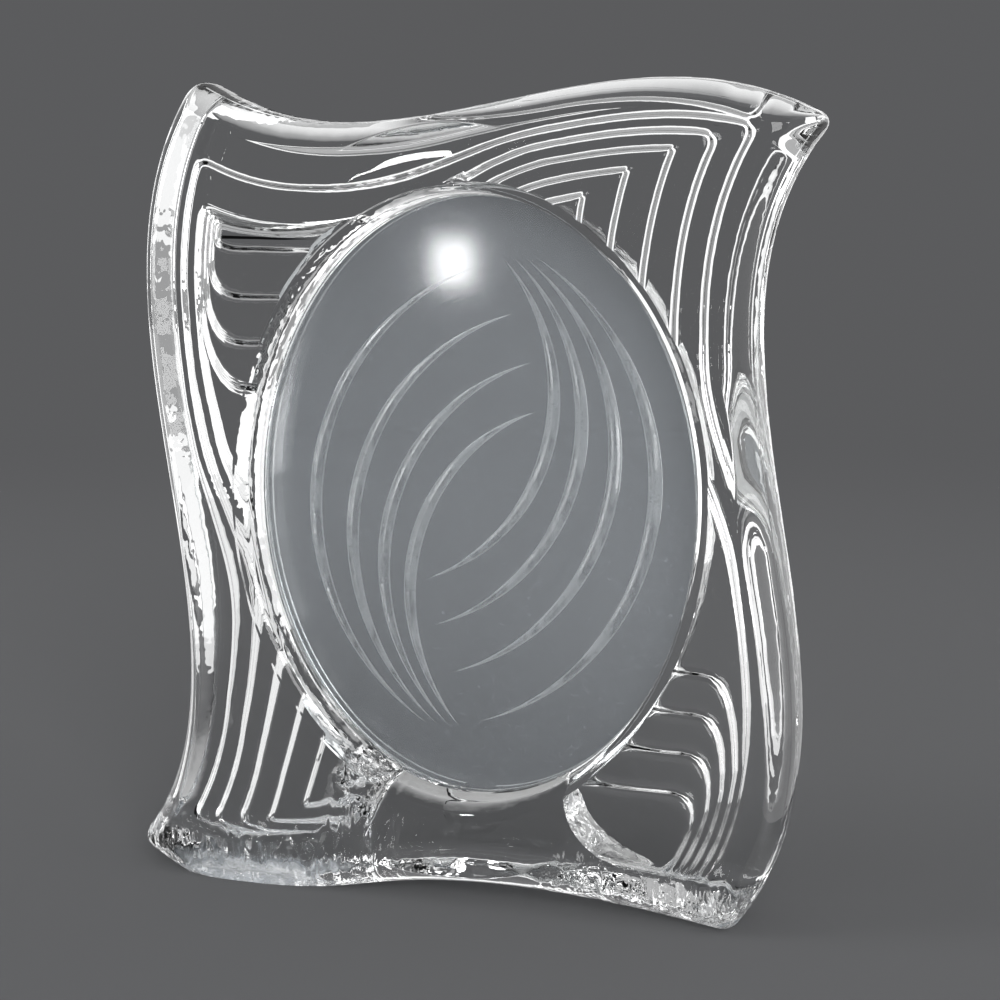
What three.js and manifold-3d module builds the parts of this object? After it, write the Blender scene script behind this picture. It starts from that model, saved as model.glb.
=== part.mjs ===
// Free-standing pressed-crystal picture frame with an oval window and a photo pack behind it.
// Millimetres, +Z up, front facing -Y, origin on the table under the middle of the frame.

import * as THREE from 'three';
import { mergeVertices } from 'three/addons/utils/BufferGeometryUtils.js';
import Module from 'manifold-3d';

// Outline: S-curved edges between the peak, the wing, the foot and the heel, a half turn of the wing
const PEAK_X = 83.5;
const PEAK_Z = 125.7;
const WING_X = 107.5;
const WING_Z = 111.2;
const FOOT_X = 84.5;
const FOOT_Z = 120.7;
const DIP_REACH = 61.7;
const DIP_FALL = 38.6;
const CREST_REACH = 61.7;
const CREST_RISE = 36;
const WAIST_REACH = 53.5;
const WAIST_FALL = 60.1;
const BULGE_REACH = 50.7;
const BULGE_RISE = 67.8;
const ARCH_REACH = 146.5;
const ARCH_RISE = 23.7;
const SOLE_REACH = 62.9;
const SOLE_FALL = 41.5;
const CORNER_RADIUS = 4;

// Casting: thickness from front to back, rounding of its edges, flats ground under the feet
const THICKNESS = 36;
const EDGE_WIDTH = 9;
const EDGE_DEPTH = 17;
const FOOT_GRIND = 1.2;

// Window: half width and half height at its throat, the roll of the front into it, the draft of its wall
const WINDOW_X = 71;
const WINDOW_Z = 91.4;
const ROLL_WIDTH = 15;
const ROLL_DEPTH = 19;
const WALL_DRAFT = 1;

// Rebate in the back: the ledge that the photo pack bears on and the collar wall around it
const LEDGE_WIDTH = 2;
const COLLAR_WALL = 3;
const COLLAR_DRAFT = 0.5;
const SCOOP_RADIUS = 15;
const SCOOP_DEPTH = 6;

// Photo pack, front to back
const SHEET_THICKNESS = 1;
const PHOTO_SPACE = 0.6;
const PANEL_THICKNESS = 4;
const RING_THICKNESS = 2;
const RING_WIDTH = 1.6;
const RING_SPLIT = 10;
const FIT = 0.3;

// Relief in the back: shelves that follow the outline and swing between far from it and near it
const SHELF_COUNT = 3;
const RIM_STEP = 7;
const SHELF_STEP = 3;
const TOP_FAR = 7;
const TOP_FAR_SPACING = 12.7;
const TOP_NEAR = 3.5;
const TOP_NEAR_SPACING = 4.5;
const TOP_SWING_START = 0.08;
const TOP_SWING_END = 0.56;
const SIDE_FAR = 6;
const SIDE_FAR_SPACING = 8;
const SIDE_NEAR = 1.4;
const SIDE_NEAR_SPACING = 5.6;
const SIDE_SWING_START = 0.31;
const SIDE_SWING_END = 0.54;
const BOTTOM_NEAR = 4;
const BOTTOM_NEAR_SPACING = 2.5;
const BOTTOM_FAR = 10;
const BOTTOM_FAR_SPACING = 5;
const COVE_RADIUS = 2.8;

// Stairs behind the upper left and lower right corners, each one a ledge further out and a step deeper
const STAIR_COUNT = 4;
const STAIR_STEP = 3;
const STAIR_DRAW = 2.6;
const STAIR_DROP = 0.6;
const UPPER_LEDGE = 14.6;
const UPPER_LEDGE_SPACING = 14.2;
const LOWER_LEDGE = 31.5;
const LOWER_LEDGE_SPACING = 11.3;
const STAIR_CORNER = 10;
const STAIR_SWEEP = 0.45;

// Chevrons behind the upper right and lower left corners, nested towards the window
const CHEVRON_COUNT = 3;
const CHEVRON_STEP = 3;
const CHEVRON_TOP = 5.5;
const CHEVRON_SIDE = 10;

// Base: the apron under the window and the feet beside it stay solid, joined by flanks that sweep out
const APRON_TOP = 82;
const APRON_LEFT = 26;
const APRON_RIGHT = 32;
const FLANK_FLARE = 3;
const FLANK_DROP = 26;
const SHOULDER_X = 57;
const SHOULDER_Z = 107;
const FLANK_END_X = 100;
const FLANK_END_Z = 120;

// Crescents cut in the back of the panel: two fans of four, one the half turn of the other
const CRESCENT_COUNT = 4;
const CRESCENT_WIDTH = 4.4;
const CRESCENT_DEPTH = 1.3;
const CRESCENT_POINT = 0.05;
const TIP_X = -18;
const TIP_CURL = 2;
const TIP_Z = -26.5;
const TIP_SPACING = 14.5;
const GATHER_X = 6.5;
const GATHER_Z = 72.5;
const GATHER_SPACING = 3.5;
const SWEEP = 28;
const SWEEP_SPACING = 6;

// Facets along curves
const EDGE_POINTS = 30;
const ROUND_FACETS = 4;
const COVE_FACETS = 3;
const CORNER_FACETS = 6;
const FLANK_FACETS = 16;
const OVAL_FACETS = 96;
const ROLL_FACETS = 7;
const SCOOP_FACETS = 32;
const CRESCENT_FACETS = 16;

// How far a cutting solid runs past the face it cuts, and an edge past its corners
const OVERCUT = 2;
const EDGE_OVERRUN = 60;

const FRONT = -THICKNESS / 2;
const BACK = THICKNESS / 2;
const PACK_DEPTH = FIT + SHEET_THICKNESS + PHOTO_SPACE + PANEL_THICKNESS + FIT + RING_THICKNESS;
const LEDGE_Y = BACK - PACK_DEPTH;
const SHEET_FRONT = LEDGE_Y + FIT;
const PANEL_FRONT = SHEET_FRONT + SHEET_THICKNESS + PHOTO_SPACE;
const PANEL_BACK = PANEL_FRONT + PANEL_THICKNESS;
const RING_FRONT = PANEL_BACK + FIT;
const REBATE_X = WINDOW_X - WALL_DRAFT + LEDGE_WIDTH;
const REBATE_Z = WINDOW_Z - WALL_DRAFT + LEDGE_WIDTH;
const PACK_X = REBATE_X - FIT;
const PACK_Z = REBATE_Z - FIT;
const COLLAR_X = REBATE_X + COLLAR_WALL;
const COLLAR_Z = REBATE_Z + COLLAR_WALL;
const LAST_SHELF = SHELF_COUNT - 1;
const SHELF_DEPTH = RIM_STEP + SHELF_STEP * LAST_SHELF;

const wasm = await Module();
wasm.setup();

// A closed geometry as a solid that can be joined and cut
function solid(geometry) {
  geometry.deleteAttribute('normal');
  geometry.deleteAttribute('uv');
  const merged = mergeVertices(geometry);
  const corners = merged.index.array;
  const triangles = [];
  for (let i = 0; i < corners.length; i += 3) {
    const [a, b, c] = [corners[i], corners[i + 1], corners[i + 2]];
    if (a !== b && b !== c && c !== a) {
      triangles.push(a, b, c);
    }
  }
  return new wasm.Manifold(new wasm.Mesh({
    numProp: 3,
    vertProperties: new Float32Array(merged.attributes.position.array),
    triVerts: new Uint32Array(triangles),
  }));
}

// A solid as a named mesh
function part(name, shape, material) {
  const mesh = shape.getMesh();
  const geometry = new THREE.BufferGeometry();
  geometry.setAttribute('position', new THREE.BufferAttribute(mesh.vertProperties, 3));
  geometry.setIndex(new THREE.BufferAttribute(mesh.triVerts, 1));
  geometry.computeVertexNormals();
  const result = new THREE.Mesh(geometry, material);
  result.name = name;
  return result;
}

// An outline in the plane of the frame, carried from one depth to another, with its end edges rounded
function prism(points, frontY, backY, width = 0, depth = width, facets = 1) {
  const geometry = new THREE.ExtrudeGeometry(new THREE.Shape(points), {
    depth: backY - frontY - 2 * depth,
    bevelEnabled: width > 0,
    bevelThickness: depth,
    bevelSize: width,
    bevelOffset: -width,
    bevelSegments: facets,
    curveSegments: 1,
  });
  geometry.rotateX(Math.PI / 2);
  geometry.translate(0, backY - depth, 0);
  return solid(geometry);
}

// An upright oval plug, which may be wider at its front end by a draft
function oval(halfX, halfZ, frontY, backY, draft = 0) {
  const geometry = new THREE.CylinderGeometry(1, 1 + draft / halfZ, backY - frontY, OVAL_FACETS);
  geometry.scale(halfX, 1, halfZ);
  geometry.translate(0, (frontY + backY) / 2, 0);
  return solid(geometry);
}

function halfTurn(points) {
  return points.map((point) => point.clone().negate());
}

// An S-curve between two corners, which leaves one and reaches the other along a handle
function edgeBetween(start, startX, startZ, end, endX, endZ) {
  const leave = new THREE.Vector2(start.x + startX, start.y + startZ);
  const reach = new THREE.Vector2(end.x + endX, end.y + endZ);
  return new THREE.CubicBezierCurve(start, leave, reach, end);
}

// The four edges of the outline, in order round the frame
const peak = new THREE.Vector2(-PEAK_X, PEAK_Z);
const wing = new THREE.Vector2(WING_X, WING_Z);
const foot = new THREE.Vector2(FOOT_X, -FOOT_Z);
const heel = wing.clone().negate();
const topEdge = edgeBetween(peak, DIP_REACH, -DIP_FALL, wing, -CREST_REACH, CREST_RISE);
const rightEdge = edgeBetween(wing, -WAIST_REACH, -WAIST_FALL, foot, BULGE_REACH, BULGE_RISE);
const bottomEdge = edgeBetween(foot, -ARCH_REACH, ARCH_RISE, heel, SOLE_REACH, -SOLE_FALL);
const leftEdge = edgeBetween(heel, WAIST_REACH, WAIST_FALL, peak, -BULGE_REACH, -BULGE_RISE);

// The points of an edge, moved inwards by a distance that may swing over to another one on the way
function inset(edge, first, last = first, swingStart = 0, swingEnd = 1) {
  const points = [];
  for (let i = 0; i <= EDGE_POINTS; i += 1) {
    const along = edge.getTangent(i / EDGE_POINTS);
    const swing = THREE.MathUtils.smoothstep(i / EDGE_POINTS, swingStart, swingEnd);
    const distance = THREE.MathUtils.lerp(first, last, swing);
    const inward = new THREE.Vector2(along.y, -along.x).multiplyScalar(distance);
    points.push(edge.getPoint(i / EDGE_POINTS).add(inward));
  }
  return points;
}

// A run carried on straight past both ends of its edge
function runOn(edge, points) {
  const start = edge.getTangent(0).multiplyScalar(-EDGE_OVERRUN).add(points[0]);
  const end = edge.getTangent(1).multiplyScalar(EDGE_OVERRUN).add(points.at(-1));
  return [start, ...points, end];
}

// The runs of a shelf along the top edge, a side edge and the bottom edge, moved further in by a distance
function shelfTop(number, further = 0) {
  const far = TOP_FAR + TOP_FAR_SPACING * number + further;
  const near = TOP_NEAR + TOP_NEAR_SPACING * number + further;
  return runOn(topEdge, inset(topEdge, far, near, TOP_SWING_START, TOP_SWING_END));
}

function shelfSide(edge, number, further = 0) {
  const far = SIDE_FAR + SIDE_FAR_SPACING * number + further;
  const near = SIDE_NEAR + SIDE_NEAR_SPACING * number + further;
  return runOn(edge, inset(edge, far, near, SIDE_SWING_START, SIDE_SWING_END));
}

function shelfBottom(number, further = 0) {
  const near = BOTTOM_NEAR + BOTTOM_NEAR_SPACING * number + further;
  const far = BOTTOM_FAR + BOTTOM_FAR_SPACING * number + further;
  return runOn(bottomEdge, inset(bottomEdge, near, far));
}

// Where two runs of points cross: the crossing and the segment of each run that it lies on
function crossing(first, second) {
  for (let i = 0; i + 1 < first.length; i += 1) {
    const a = first[i];
    const u = first[i + 1].clone().sub(a);
    for (let j = 0; j + 1 < second.length; j += 1) {
      const b = second[j];
      const v = second[j + 1].clone().sub(b);
      const w = b.clone().sub(a);
      const s = w.cross(v) / u.cross(v);
      const t = w.cross(u) / u.cross(v);
      if (s >= 0 && s < 1 && t >= 0 && t < 1) {
        return { point: u.multiplyScalar(s).add(a), i, j };
      }
    }
  }
  throw new Error('two edges of the relief no longer meet');
}

// A run without the points that lie too close to a corner for the cove to turn it
function clearOf(corner, points) {
  return points.filter((point) => point.distanceTo(corner) > 2 * COVE_RADIUS);
}

// Two runs joined at their crossing, without the ends beyond it
function mitre(first, second) {
  const meet = crossing(first, second);
  const before = clearOf(meet.point, first.slice(0, meet.i + 1));
  const after = clearOf(meet.point, second.slice(meet.j + 1));
  return [...before, meet.point, ...after];
}

// A whole shelf as one closed run
function shelf(number) {
  const sides = [rightEdge, leftEdge].map((edge) => shelfSide(edge, number));
  const runs = [shelfTop(number), sides[0], shelfBottom(number), sides[1]];
  const corners = runs.map((run, i) => crossing(runs.at(i - 1), run));
  return runs.flatMap((run, i) => {
    const start = corners[i];
    const end = corners[(i + 1) % corners.length];
    const between = run.slice(start.j + 1, end.i + 1);
    return [start.point, ...clearOf(start.point, clearOf(end.point, between))];
  });
}

// All the glass on the inner side of one edge, with that edge rounded at the front and the back
function edgeSlab(edge) {
  const points = runOn(edge, inset(edge, 0));
  const chord = points.at(-1).clone().sub(points[0]);
  const across = new THREE.Vector2(chord.y, -chord.x);
  const far = [points.at(-1).clone().add(across), points[0].clone().add(across)];
  return prism([...points, ...far], FRONT, BACK, EDGE_WIDTH, EDGE_DEPTH, ROUND_FACETS);
}

// One edge of the outline, led in by the rounded corner between it and the edge before
function roundedEdge(before, edge) {
  const corner = edge.getPoint(0);
  const inward = before.getTangent(1).negate();
  const onward = edge.getTangent(0);
  const setback = CORNER_RADIUS / Math.tan(Math.acos(inward.dot(onward)) / 2);
  const bend = new THREE.QuadraticBezierCurve(
    inward.multiplyScalar(setback).add(corner),
    corner,
    onward.multiplyScalar(setback).add(corner),
  );
  const clear = (point) => point.distanceTo(corner) > setback && point.distanceTo(edge.getPoint(1)) > setback;
  return [...bend.getPoints(CORNER_FACETS), ...inset(edge, 0).filter(clear)];
}

// The outline of the frame as it is seen from the front
function outline() {
  const edges = [topEdge, rightEdge, bottomEdge, leftEdge];
  return edges.flatMap((edge, i) => roundedEdge(edges.at(i - 1), edge));
}

// The glass that the window takes away: roll of the front, throat, and wall closing in to the ledge
function windowHollow() {
  const profile = [new THREE.Vector2(0, FRONT - OVERCUT)];
  profile.push(new THREE.Vector2(WINDOW_Z + ROLL_WIDTH, FRONT - OVERCUT));
  for (let i = 0; i <= ROLL_FACETS; i += 1) {
    const angle = (i / ROLL_FACETS) * (Math.PI / 2);
    const out = ROLL_WIDTH * (1 - Math.sin(angle));
    profile.push(new THREE.Vector2(WINDOW_Z + out, FRONT + ROLL_DEPTH * (1 - Math.cos(angle))));
  }
  profile.push(new THREE.Vector2(WINDOW_Z - WALL_DRAFT, LEDGE_Y));
  profile.push(new THREE.Vector2(WINDOW_Z - WALL_DRAFT, BACK + OVERCUT));
  profile.push(new THREE.Vector2(0, BACK + OVERCUT));
  const geometry = new THREE.LatheGeometry(profile, OVAL_FACETS);
  const places = geometry.attributes.position;
  for (let i = 0; i < places.count; i += 1) {
    const reach = Math.hypot(places.getX(i), places.getZ(i));
    if (reach > 0) {
      places.setX(i, (places.getX(i) * (reach - WINDOW_Z + WINDOW_X)) / reach);
    }
  }
  return solid(geometry);
}

// One stair from its ledge, its side wall and its top wall, with the ledge swept up into the side wall
function stair(ledge, side, top) {
  const height = crossing(side, top).point.y - ledge;
  const wall = side.filter((point) => point.y > ledge + STAIR_SWEEP * height);
  const roof = top.filter((point) => point.x < 0);
  const corner = new THREE.Vector2(wall[0].x, ledge);
  const bend = new THREE.QuadraticBezierCurve(
    new THREE.Vector2(corner.x + STAIR_CORNER, ledge),
    corner,
    wall[0],
  );
  return [...bend.getPoints(CORNER_FACETS).slice(0, -1), ...mitre(wall, roof), new THREE.Vector2(0, ledge)];
}

// The stair behind the upper left corner and the one behind the lower right corner
function stairs(number) {
  const across = STAIR_DRAW * number;
  const down = STAIR_DROP * number;
  const upperLedge = UPPER_LEDGE + UPPER_LEDGE_SPACING * number;
  const upper = stair(upperLedge, shelfSide(leftEdge, LAST_SHELF, across), shelfTop(LAST_SHELF, down));
  const lowerLedge = LOWER_LEDGE + LOWER_LEDGE_SPACING * number;
  const side = halfTurn(shelfSide(rightEdge, LAST_SHELF, across));
  const lower = stair(lowerLedge, side, halfTurn(shelfBottom(LAST_SHELF, down)));
  return [upper, halfTurn(lower)];
}

// One chevron from a top wall and a side wall that meet
function chevron(top, side) {
  const roof = top.filter((point) => point.x > 0);
  const wall = side.filter((point) => point.y > 0);
  return [...mitre(roof, wall), new THREE.Vector2(0, 0)];
}

// The chevron behind the upper right corner and the one behind the lower left corner
function chevrons(number) {
  const across = CHEVRON_SIDE * number;
  const down = CHEVRON_TOP * number;
  const upper = chevron(shelfTop(LAST_SHELF, down), shelfSide(rightEdge, LAST_SHELF, across));
  const side = halfTurn(shelfSide(leftEdge, LAST_SHELF, across));
  const lower = chevron(halfTurn(shelfBottom(LAST_SHELF, down)), side);
  return [upper, halfTurn(lower)];
}

// One flank of the base, from the apron out to the end of a foot
function flank(side, apron) {
  const curve = new THREE.CubicBezierCurve(
    new THREE.Vector2(side * apron, -APRON_TOP),
    new THREE.Vector2(side * (apron + FLANK_FLARE), -APRON_TOP - FLANK_DROP),
    new THREE.Vector2(side * SHOULDER_X, -SHOULDER_Z),
    new THREE.Vector2(side * FLANK_END_X, -FLANK_END_Z),
  );
  return curve.getPoints(FLANK_FACETS);
}

// The apron and the feet, which the relief leaves solid
function base() {
  const low = -2 * PEAK_Z;
  const under = [new THREE.Vector2(FLANK_END_X, low), new THREE.Vector2(-FLANK_END_X, low)];
  const points = [...flank(1, APRON_RIGHT), ...under, ...flank(-1, APRON_LEFT).reverse()];
  return prism(points, FRONT, BACK + 2 * OVERCUT + COVE_RADIUS);
}

// A hollow pressed into the back to a depth, with a cove at its foot
function pressed(points, depth) {
  return prism(points, BACK - depth, BACK + OVERCUT + COVE_RADIUS, COVE_RADIUS, COVE_RADIUS, COVE_FACETS);
}

// All the relief in the back, kept clear of the collar round the window and of the base
function backRelief() {
  let relief = pressed(shelf(0), RIM_STEP);
  for (let number = 1; number < SHELF_COUNT; number += 1) {
    relief = relief.add(pressed(shelf(number), RIM_STEP + SHELF_STEP * number));
  }
  for (let number = 1; number <= STAIR_COUNT; number += 1) {
    for (const points of stairs(number)) {
      relief = relief.add(pressed(points, SHELF_DEPTH + STAIR_STEP * number));
    }
  }
  for (let number = 1; number <= CHEVRON_COUNT; number += 1) {
    for (const points of chevrons(number)) {
      relief = relief.add(pressed(points, SHELF_DEPTH + CHEVRON_STEP * number));
    }
  }
  const collar = oval(COLLAR_X, COLLAR_Z, FRONT, BACK + 2 * OVERCUT + COVE_RADIUS, COLLAR_DRAFT);
  return relief.subtract(collar).subtract(base());
}

// A finger scoop in the back of the collar, at the foot of the window
function fingerScoop() {
  const geometry = new THREE.SphereGeometry(SCOOP_RADIUS, SCOOP_FACETS, SCOOP_FACETS / 2);
  geometry.translate(0, BACK + SCOOP_RADIUS - SCOOP_DEPTH, -REBATE_Z - COLLAR_WALL / 2);
  return solid(geometry);
}

// The height of the table: both feet are ground flat by at least the grinding depth
function footHeight() {
  const points = outline();
  const left = Math.min(...points.filter((point) => point.x < 0).map((point) => point.y));
  const right = Math.min(...points.filter((point) => point.x > 0).map((point) => point.y));
  return Math.max(left, right) + FOOT_GRIND;
}

function crystalBody() {
  const upper = edgeSlab(topEdge).intersect(edgeSlab(rightEdge));
  const slab = upper.intersect(edgeSlab(bottomEdge)).intersect(edgeSlab(leftEdge));
  const corners = prism(outline(), FRONT - OVERCUT, BACK + OVERCUT);
  const rebate = oval(REBATE_X, REBATE_Z, LEDGE_Y, BACK + OVERCUT);
  const ground = new THREE.BoxGeometry(4 * WING_X, 2 * THICKNESS, 2 * PEAK_Z);
  ground.translate(0, 0, footHeight() - PEAK_Z);
  return slab
    .intersect(corners)
    .subtract(backRelief())
    .subtract(windowHollow())
    .subtract(rebate)
    .subtract(fingerScoop())
    .subtract(solid(ground));
}

// A mitre-cut groove along an arc that bulges to the right, pointed at both ends
function crescent(tip, end, bulge) {
  const chord = end.clone().sub(tip);
  const radius = (chord.lengthSq() / 4 + bulge * bulge) / (2 * bulge);
  const across = new THREE.Vector2(chord.y, -chord.x).normalize();
  const middle = tip.clone().add(end).multiplyScalar(0.5);
  const centre = middle.addScaledVector(across, bulge - radius);
  const from = tip.clone().sub(centre).angle() - 2 * Math.PI;
  const to = end.clone().sub(centre).angle();
  const section = new THREE.CylinderGeometry(1, 1, 1, 3, CRESCENT_FACETS);
  const places = section.attributes.position;
  for (let i = 0; i < places.count; i += 1) {
    const along = places.getY(i) + 0.5;
    const swell = Math.sin(Math.PI * along) + CRESCENT_POINT;
    const side = places.getX(i) / Math.sin(Math.PI / 3);
    const sink = (2 * places.getZ(i) + 1) / 3;
    const angle = THREE.MathUtils.lerp(from, to, along);
    const lift = 1 + OVERCUT / CRESCENT_DEPTH;
    const reach = radius + side * (CRESCENT_WIDTH / 2) * swell * lift;
    const depth = CRESCENT_DEPTH * swell * (lift * (1 - sink) - 1);
    const spot = new THREE.Vector2(Math.cos(angle), Math.sin(angle)).multiplyScalar(reach).add(centre);
    places.setXYZ(i, spot.x, PANEL_BACK + depth, spot.y);
  }
  return solid(section);
}

function backPanel() {
  let panel = oval(PACK_X, PACK_Z, PANEL_FRONT, PANEL_BACK);
  for (let number = 0; number < CRESCENT_COUNT; number += 1) {
    const tip = new THREE.Vector2(TIP_X + TIP_CURL * number * number, TIP_Z - TIP_SPACING * number);
    const end = new THREE.Vector2(GATHER_X + GATHER_SPACING * number, GATHER_Z);
    const groove = crescent(tip, end, SWEEP + SWEEP_SPACING * number);
    panel = panel.subtract(groove).subtract(groove.rotate([0, 180, 0]));
  }
  return panel;
}

// An oval spring ring, open at the foot of the window
function retainingRing() {
  const open = RING_SPLIT / 2 / PACK_X;
  const from = open - Math.PI / 2;
  const to = 1.5 * Math.PI - open;
  const outer = new THREE.EllipseCurve(0, 0, PACK_X, PACK_Z, from, to, false);
  const inner = new THREE.EllipseCurve(0, 0, PACK_X - RING_WIDTH, PACK_Z - RING_WIDTH, to, from, true);
  return prism([...outer.getPoints(OVAL_FACETS), ...inner.getPoints(OVAL_FACETS)], RING_FRONT, BACK);
}

const crystal = new THREE.MeshStandardMaterial({ color: 0xdfe4e6, roughness: 0.04, metalness: 0 });
const acetate = new THREE.MeshStandardMaterial({ color: 0xe3e8ec, roughness: 0.08, metalness: 0 });
const cutGlass = new THREE.MeshStandardMaterial({ color: 0xd6dde1, roughness: 0.05, metalness: 0 });
const nylon = new THREE.MeshStandardMaterial({ color: 0xe9ecec, roughness: 0.25, metalness: 0 });

const frame = new THREE.Group();
frame.add(part('crystal_body', crystalBody(), crystal));
frame.add(part('cover_sheet', oval(PACK_X, PACK_Z, SHEET_FRONT, SHEET_FRONT + SHEET_THICKNESS), acetate));
frame.add(part('back_panel', backPanel(), cutGlass));
frame.add(part('retaining_ring', retainingRing(), nylon));
frame.position.z = -footHeight();

export default frame;
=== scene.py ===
"""Looks of a pressed-crystal picture frame: the casting, its photo pack and a plain studio."""

import math

import bmesh
import bpy
from bpy.props import FloatProperty, FloatVectorProperty, IntProperty, PointerProperty
from bpy.types import Operator, Panel, PropertyGroup
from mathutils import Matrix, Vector
from mathutils.geometry import intersect_line_line_2d


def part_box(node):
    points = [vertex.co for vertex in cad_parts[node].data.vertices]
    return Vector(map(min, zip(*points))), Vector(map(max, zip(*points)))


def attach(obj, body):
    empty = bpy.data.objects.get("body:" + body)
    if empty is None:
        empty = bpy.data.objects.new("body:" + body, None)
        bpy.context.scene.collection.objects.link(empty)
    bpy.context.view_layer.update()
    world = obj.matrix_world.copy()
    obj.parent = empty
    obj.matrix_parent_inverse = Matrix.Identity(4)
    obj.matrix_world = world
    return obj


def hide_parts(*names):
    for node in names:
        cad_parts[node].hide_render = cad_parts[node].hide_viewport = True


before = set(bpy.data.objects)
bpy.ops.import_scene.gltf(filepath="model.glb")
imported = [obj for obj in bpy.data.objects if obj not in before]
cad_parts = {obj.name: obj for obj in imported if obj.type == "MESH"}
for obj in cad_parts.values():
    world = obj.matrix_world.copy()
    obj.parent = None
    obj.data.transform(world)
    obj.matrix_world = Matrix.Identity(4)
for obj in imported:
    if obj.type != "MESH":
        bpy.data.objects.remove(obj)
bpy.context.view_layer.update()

bl_info = {
    "name": "Crystal picture frame",
    "version": (1, 0, 0),
    "blender": (4, 5, 0),
    "location": "View3D > Sidebar > Crystal frame",
    "description": "Models a pressed-crystal picture frame with an oval window and its photo pack",
    "category": "Object",
}

# Planes and places that the solids give
BODY_LOW, BODY_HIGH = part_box("crystal_body")
SHEET_LOW, SHEET_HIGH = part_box("cover_sheet")
PANEL_LOW, PANEL_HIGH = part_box("back_panel")
RING_LOW, RING_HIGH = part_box("retaining_ring")
FRONT = BODY_LOW[1]
BACK = BODY_HIGH[1]
MIDDLE_Z = (SHEET_LOW[2] + SHEET_HIGH[2]) / 2
PACK_X = (SHEET_HIGH[0] - SHEET_LOW[0]) / 2
PACK_Z = (SHEET_HIGH[2] - SHEET_LOW[2]) / 2

# Points along curves
RUN_POINTS = 160
EDGE_POINTS = 72
TURN_POINTS = 6
ROUND_POINTS = 16
OGEE_POINTS = 6
OVAL_POINTS = 192
GROOVE_POINTS = 48
SECTION_POINTS = 8

# How far a run goes on past its edge, and a cutter past the face that it cuts
RUN_ON = 0.06
OVERCUT = 0.002
CUTTER = 1

# How far two faces stay off each other, and the least rounding of a corner
SLIP = 0.00002
LEAST_TURN = 0.0004

# How blunt the tips of a cut are, how hollow its section is, and how square the section of the ring is
TIP_BLUNTNESS = 0.03
CUT_HOLLOW = 1.15
RING_SQUARENESS = 5

# Roughness of the ground and the moulded surfaces, and of the white film that a ground one shows
SOLE_ROUGHNESS = 0.12
CUT_ROUGHNESS = 0.14
SHEET_ROUGHNESS = 0.075
NYLON_ROUGHNESS = 0.08
GRAIN_ROUGHNESS = 0.12
FILM_ROUGHNESS = 0.6

# How far streaks are drawn out along each axis
UPRIGHT = (1, 1, 0.35)

# Share of each kind of bump in the casting
RIPPLE = 0.06
WAVES = 0.14
STIPPLE = 1.3

# Bands over which the surface of the casting changes, by height, depth and place across
SOLE_HEIGHT = (0.0005, 0.004)
FOOT_HEIGHT = (0.009, 0.02)
FLANK_HEIGHT = (0.034, 0.044)
FLANK_START = (-0.042, -0.034)
FLANK_END = (-0.027, -0.021)
APRON_SQUARED = (0.0005, 0.0011)
PRESSED_DEPTH = (FRONT + 0.0095, FRONT + 0.0105)
CHIP_WHITE = 0.6

# Bands round the window, as shares of its half width and half height or the sum of their squares
LIP_REACH = (1.05, 1.07)
ROLL_REACH = (1.46, 1.5)
ROLL_FRONT = (FRONT + 0.0095, FRONT + 0.01)
SCOOP_TOP = (-0.9, -0.8)
SCOOP_SIDE_SQUARED = (0.035, 0.045)
SCOOP_REACH = (1.35, 1.38)

# How much of a slope is left where it is evened out, and how far aside that is seen
EVENED = (0.1, 1, 0.1)
SEEN_ASIDE = (0.4, 0.7)

# Haze on the sheet: everywhere, in its upper half, in clouds and in specks of dust
LEAST_HAZE = 0.04
UPPER_HAZE = 0.06
CLOUD_HAZE = 0.06
DUST_HAZE = 0.12
DUST = (0.68, 0.78)

# Bands of depth in the panel, and how white its cuts are ground: everywhere and in streaks
PANEL_FACE = (PANEL_LOW[1] + 0.0005, PANEL_LOW[1] + 0.0006)
CUT_DEPTH = (PANEL_HIGH[1] - 0.0001, PANEL_HIGH[1] - 0.00003)
CUT_EDGE = (PANEL_HIGH[1] - 0.0004, PANEL_HIGH[1] - 0.0002)
LEAST_GROUND = 0.25
STREAK_GROUND = 0.6
STREAKS = (0.35, 0.65)

# The studio's floor: its drop under the feet and where it fades into the background
FLOOR_DROP = 0.0002
FLOOR_FADE = (0.5, 1.4)


def length(name, description, millimetres):
    """A length that a user may change."""
    return FloatProperty(
        name=name, description=description, default=millimetres / 1000, unit="LENGTH", precision=5
    )


def share(name, description, part):
    """A share of a length that a user may change."""
    return FloatProperty(name=name, description=description, default=part, min=0, max=1, subtype="FACTOR")


def angle(name, description, degrees):
    """An angle that a user may change."""
    radians = math.radians(degrees)
    return FloatProperty(name=name, description=description, default=radians, subtype="ANGLE")


def tint(name, description, colour):
    """A colour that a user may change."""
    return FloatVectorProperty(
        name=name, description=description, default=colour, size=3, min=0, max=1, subtype="COLOR"
    )


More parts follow.
